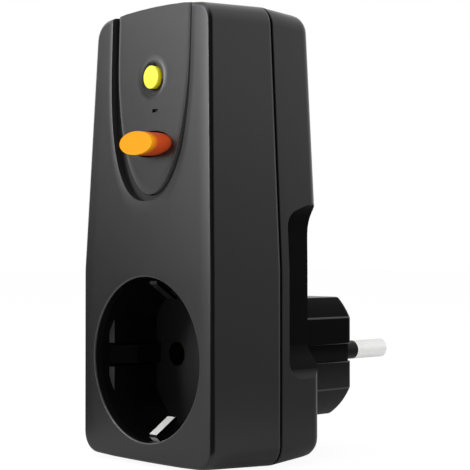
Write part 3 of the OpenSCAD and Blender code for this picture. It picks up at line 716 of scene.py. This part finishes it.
dress("plug_boss", [Round(on_boss, radius=0.25, steps=2, clamp=False)], least=BOSS_LEAST,
      extra=[(on_ramp, EDGE)], rim_mat=EDGE, mat=BOSS)

# Socket

SEAT_DEPTH = 12.0
PAD_X = 17.0
PAD_Z = 2.2
PAD_SLOPE = 0.2


def on_seat(p, normal):
    """Floor of the socket, painted lighter as painted light."""
    return normal.y < -FACING and p.y > FRONT_Y + SEAT_DEPTH


def on_pad(p, normal):
    """Front faces of the guide flats in the socket, painted lighter as painted light."""
    sloped = normal.y < -FACING and abs(normal.x) > PAD_SLOPE
    return sloped and abs(p.x) > PAD_X and abs(p.z) > PAD_Z


dress("socket_insert", extra=[(on_seat, SEAT), (on_pad, PAD)])

# Panel plate

DISH_REACH = 5.5
DISH_DEEP = 2.5
DISH_TILT = 0.06
WALL_X = 1.0
WALL_SIDE = 0.1
WALL_FACING = 0.6


def near_test(p):
    """Whether a point lies in or beside the dish of the test button."""
    return math.hypot(p.x, p.z - TEST_Z) < DISH_REACH


def in_dish(p):
    """Whether a point lies in or beside the dish and not far behind the front face."""
    return near_test(p) and p.y < front_face_y(p.z) + DISH_DEEP


def on_plate_edge(a, b):
    """Front edges of the panel plate."""
    return all(abs(p.y - front_face_y(p.z) - PANEL_IN) < NEAR for p in (a, b)) and not near_test(a)


def dish_right(p, normal):
    """Right wall of the dish round the test button, painted lighter as painted light."""
    return in_dish(p) and normal.x < -DISH_TILT


def dish_left(p, normal):
    """Left and lower walls of the dish round the test button, painted darker as painted shade."""
    return in_dish(p) and (normal.x > DISH_TILT or normal.z > DISH_TILT)


def plate_wall(p, normal):
    """Right side wall of the panel plate in the groove, painted lighter as painted light."""
    upright_face = normal.x > WALL_SIDE and abs(normal.y) < WALL_FACING
    return upright_face and p.x > WALL_X and not near_test(p)


dress("panel_plate", [Round(on_plate_edge, radius=0.4, steps=4, clamp=True)],
      extra=[(dish_right, DISH_PAINTED_LIGHT), (dish_left, DISH_PAINTED_SHADE), (plate_wall, WALL)], mat=PLATE)

# Buttons, contacts, pins and earth clips

# How far back the leaning end face of the reset button reaches
END_DEPTH = 0.25
HOLE_R = 3.5
HOLE_Y = -30.0


def on_reset_end(a, b):
    """Outline of the reset button's end face."""
    return all(p.y < RESET_FRONT + END_DEPTH for p in (a, b))


def in_hole(p, normal):
    """Front of a female contact, seen through its pin hole, painted near black as painted shade."""
    return p.y < HOLE_Y and math.hypot(abs(p.x) - PIN_X, p.z) < HOLE_R


def on_upper_clip(p, normal):
    """Faces of the upper earth clip, painted darker as painted shade."""
    return p.z > 0


def on_clip_edge(p, normal):
    """Front ends and thin side edges of the earth clips, painted darker as painted shade."""
    return normal.y < -FACING or abs(normal.x) > FACING


dress("reset_button", [Round(on_reset_end, radius=0.9, steps=5, clamp=True)])
dress("test_button")
for contact in ("line_contact", "neutral_contact"):
    dress(contact, extra=[(in_hole, HOLE)])
for pin in ("line_pin", "neutral_pin", "line_sleeve", "neutral_sleeve"):
    dress(pin)
dress("earth_bracket", extra=[(on_upper_clip, SHADED), (on_clip_edge, TIP)], mat=CLIP)

# Springs, each listed with the body that moves its front end; their copies stay in place, attached to no body

SPRING_BODIES = {"test_spring": "test", "reset_spring": "reset", "plunger_spring": "plunger"}
for spring, moving_body in SPRING_BODIES.items():
    dress(spring, moving=moving_body)

# Camera at the photograph's place: sensor, lens and place in millimetres, nearest and farthest in metres

SENSOR = 36.0
LENS = 103.4
CAMERA_PLACE = (250.0, -255.8, 24.9)
CAMERA_AIM = (-0.7360, 0.6768, 0.0145)
NEAREST = 0.01
FARTHEST = 20.0

camera = bpy.data.objects.new("camera", bpy.data.cameras.new("camera"))
camera.data.sensor_width = SENSOR
camera.data.lens = LENS
camera.data.clip_start = NEAREST
camera.data.clip_end = FARTHEST
camera.location = Vector(CAMERA_PLACE) * MM
camera.rotation_euler = Vector(CAMERA_AIM).to_track_quat("-Z", "Y").to_euler()
bpy.context.scene.collection.objects.link(camera)
bpy.context.scene.camera = camera

# Background and floor, in metres

WORLD_LEVEL = 0.5
FLOOR_GAP = 0.05 * MM
FLOOR_Z = BASE_Z * MM - FLOOR_GAP
FLOOR_HALF = 3.0
FLOOR_DARK = (0.84, 0.84, 0.84)
FLOOR_LIGHT = (0.87, 0.87, 0.87)
FLOOR_PATCHES = 6.0
FLOOR_ROUGH = 0.9
FLOOR_GLOW = 1.08
FLOOR_SHARE = 0.86


def white_for_view(tree, strength):
    """A number: 1 where the view, a reflection or a clear piece meets the background, otherwise strength."""
    math_node = sums(tree)
    path = tree.nodes.new("ShaderNodeLightPath")
    seen = math_node("MAXIMUM", path.outputs["Is Camera Ray"], path.outputs["Is Glossy Ray"])
    seen = math_node("MAXIMUM", seen, path.outputs["Is Transmission Ray"])
    return ramp_to(tree, seen, strength, 1.0, 0.0, 1.0)


def pale_floor():
    """Matt pale floor, lifted towards white for the camera so that only the object's shadow shows."""
    mat, tree, bsdf = shader("pale_floor")
    bsdf.inputs["Roughness"].default_value = FLOOR_ROUGH
    bsdf.inputs["Specular IOR Level"].default_value = 0.0
    patches = noise(tree, FLOOR_PATCHES, detail=2.0)
    tree.links.new(tint(tree, patches, FLOOR_DARK, FLOOR_LIGHT), bsdf.inputs["Base Color"])
    glow = tree.nodes.new("ShaderNodeEmission")
    glow.inputs["Strength"].default_value = FLOOR_GLOW
    path = tree.nodes.new("ShaderNodeLightPath")
    share = sums(tree)("MULTIPLY", path.outputs["Is Camera Ray"], FLOOR_SHARE)
    mix = tree.nodes.new("ShaderNodeMixShader")
    tree.links.new(share, mix.inputs["Fac"])
    tree.links.new(bsdf.outputs["BSDF"], mix.inputs[1])
    tree.links.new(glow.outputs["Emission"], mix.inputs[2])
    out = [n for n in tree.nodes if n.type == "OUTPUT_MATERIAL"][0]
    tree.links.new(mix.outputs["Shader"], out.inputs["Surface"])
    return mat


def plane(name, corners, mat):
    """A stage plane from four corners in metres."""
    mesh = bpy.data.meshes.new(name)
    mesh.from_pydata([Vector(c) for c in corners], [], [(0, 1, 2, 3)])
    mesh.materials.append(mat)
    obj = bpy.data.objects.new(name, mesh)
    bpy.context.scene.collection.objects.link(obj)
    return obj


def flat(z, *corners):
    """Corners of a level sheet at one height."""
    return [(x, y, z) for x, y in corners]


world = bpy.data.worlds.new("studio")
bpy.context.scene.world = world
world.use_nodes = True
background = world.node_tree.nodes["Background"]
background.inputs["Color"].default_value = (1, 1, 1, 1)
world.node_tree.links.new(white_for_view(world.node_tree, WORLD_LEVEL), background.inputs["Strength"])
floor_corners = flat(FLOOR_Z, (-FLOOR_HALF, -FLOOR_HALF), (FLOOR_HALF, -FLOOR_HALF), (FLOOR_HALF, FLOOR_HALF),
                     (-FLOOR_HALF, FLOOR_HALF))
plane("floor", floor_corners, pale_floor())

# Lamps, in metres

AIM = (0.0, -0.04, 0.03)


def softbox(name, place, size, radiance):
    """A rectangular lamp of one brightness, aimed at the object."""
    data = bpy.data.lights.new(name, "AREA")
    data.shape = "RECTANGLE"
    data.size = size[0]
    data.size_y = size[1]
    data.energy = radiance * math.pi * size[0] * size[1]
    obj = bpy.data.objects.new(name, data)
    obj.location = place
    direction = Vector(AIM) - Vector(place)
    obj.rotation_euler = direction.to_track_quat("-Z", "Y").to_euler()
    bpy.context.scene.collection.objects.link(obj)
    return obj


softbox("key", place=(-0.488, -0.764, 0.30), size=(0.12, 0.42), radiance=20.0)
softbox("front", place=(-0.13, -0.54, 0.64), size=(0.5, 0.3), radiance=2.5)
softbox("top", place=(0.0, -0.1, 0.9), size=(0.6, 0.6), radiance=1.0)
fill = softbox("fill", place=(0.62, -0.1, 0.2), size=(0.3, 0.3), radiance=4.0)
fill.visible_glossy = False

# Cards and sheets that show only in reflections, in metres

CARD_PATCHES = 4.0
CARD_VARY = 0.05
SHEET_LIFT = 0.0003
SHEET_Z = FLOOR_Z + SHEET_LIFT


def card(name, corners, level=None, steps=None):
    """A flat card of one level, or graded upwards by (height in millimetres, level) steps."""
    mat = bpy.data.materials.new(name)
    mat.use_nodes = True
    mat.cycles.emission_sampling = "NONE"
    tree = mat.node_tree
    tree.nodes.clear()
    out = tree.nodes.new("ShaderNodeOutputMaterial")
    light = tree.nodes.new("ShaderNodeEmission")
    if steps is None:
        patches = noise(tree, CARD_PATCHES, detail=1.0)
        shade = tint(tree, patches, (level * (1 - CARD_VARY),) * 3, (level * (1 + CARD_VARY),) * 3)
    else:
        run = tree.nodes.new("ShaderNodeValToRGB")
        low = steps[0][0]
        high = steps[-1][0]
        while len(run.color_ramp.elements) < len(steps):
            run.color_ramp.elements.new(0.5)
        for element, (height, value) in zip(run.color_ramp.elements, steps):
            element.position = (height - low) / (high - low)
            element.color = (value, value, value, 1)
        tree.links.new(along(tree, "Z", low, high), run.inputs["Fac"])
        shade = run.outputs["Color"]
    tree.links.new(shade, light.inputs["Color"])
    tree.links.new(light.outputs["Emission"], out.inputs["Surface"])
    obj = plane(name, corners, mat)
    obj.visible_camera = False
    obj.visible_diffuse = False
    obj.visible_shadow = False


def upright(first, last, low, high):
    """Corners of an upright card between two places on the floor plan."""
    return [(*first, low), (*last, low), (*last, high), (*first, high)]


card("black_card", upright((-0.56, -1.42), (0.93, 0.10), low=-0.02, high=0.9), level=0.005)
card("grey_card", upright((-0.62, -0.62), (-0.85, 0.25), low=-0.02, high=0.55),
     steps=[(-25, 0.0), (60, 0.0), (110, 0.3), (230, 0.4), (270, 0.9), (300, 1.6), (360, 2.5)])
card("left_card", upright((-0.70, -0.28), (-0.74, 0.02), low=0.05, high=0.45), level=2.2)
card("side_card", upright((0.884, 0.362), (0.472, 0.798), low=-0.0249, high=0.36),
     steps=[(-25, 0.40), (60, 0.52), (127, 0.58), (193, 0.84), (240, 0.95), (300, 1.0)])
card("black_sheet", flat(SHEET_Z, (-0.32, -1.1), (0.0, -0.085), (0.08, -0.03), (1.0, 0.12)), level=0.01)
card("grey_sheet", flat(SHEET_Z, (-0.05, -0.075), (-0.62, -0.62), (-0.85, 0.0), (-0.12, -0.03)), level=0.05)
card("side_sheet", flat(SHEET_Z, (0.14, -0.04), (0.88, 0.36), (0.47, 0.8), (0.03, 0.07)), level=0.36)

bpy.context.scene.view_settings.view_transform = "Standard"
